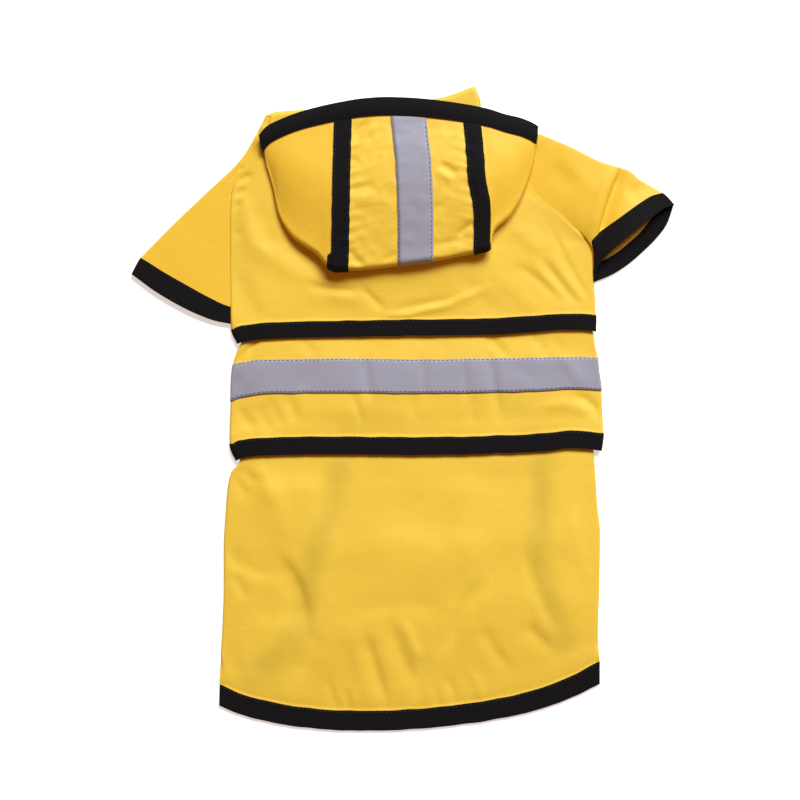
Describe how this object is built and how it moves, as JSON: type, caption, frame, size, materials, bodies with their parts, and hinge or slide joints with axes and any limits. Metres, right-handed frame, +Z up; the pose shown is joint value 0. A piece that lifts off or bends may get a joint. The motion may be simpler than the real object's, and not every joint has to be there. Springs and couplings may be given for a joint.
{
  "type": "dog raincoat",
  "caption": "Hooded dog raincoat in thin yellow cloth with black bound edges and reflective tape, laid flat with its back up and the hood pushed back.",
  "frame": {"origin": "middle of the coat's bounding box, on the surface that it lies on", "axes": "+Y from the hem towards the neck, +X towards the coat's right sleeve, +Z up out of the coat's back"},
  "size_m": [0.3783, 0.451, 0.0208],
  "materials": {
    "shell_fabric": "thin coated rainwear cloth, slight sheen",
    "binding_fabric": "ribbed woven binding tape, matte",
    "reflective_tape": "grey reflective tape, satin"
  },
  "bodies": {
    "root": {"back_yoke": "shell_fabric", "back_middle": "shell_fabric", "back_lower": "shell_fabric", "front_left": "shell_fabric", "front_right": "shell_fabric", "sleeve_left": "shell_fabric", "sleeve_right": "shell_fabric", "hood_left": "shell_fabric", "hood_centre": "shell_fabric", "hood_right": "shell_fabric", "hood_under": "shell_fabric", "yoke_binding": "binding_fabric", "middle_binding": "binding_fabric", "hem_binding": "binding_fabric", "belly_binding_left": "binding_fabric", "belly_binding_right": "binding_fabric", "cuff_binding_left": "binding_fabric", "cuff_binding_right": "binding_fabric", "hood_face_binding": "binding_fabric", "hood_seam_binding_left": "binding_fabric", "hood_seam_binding_right": "binding_fabric", "middle_reflective_strip": "reflective_tape", "hood_reflective_strip": "reflective_tape"}
  },
  "joints": []
}
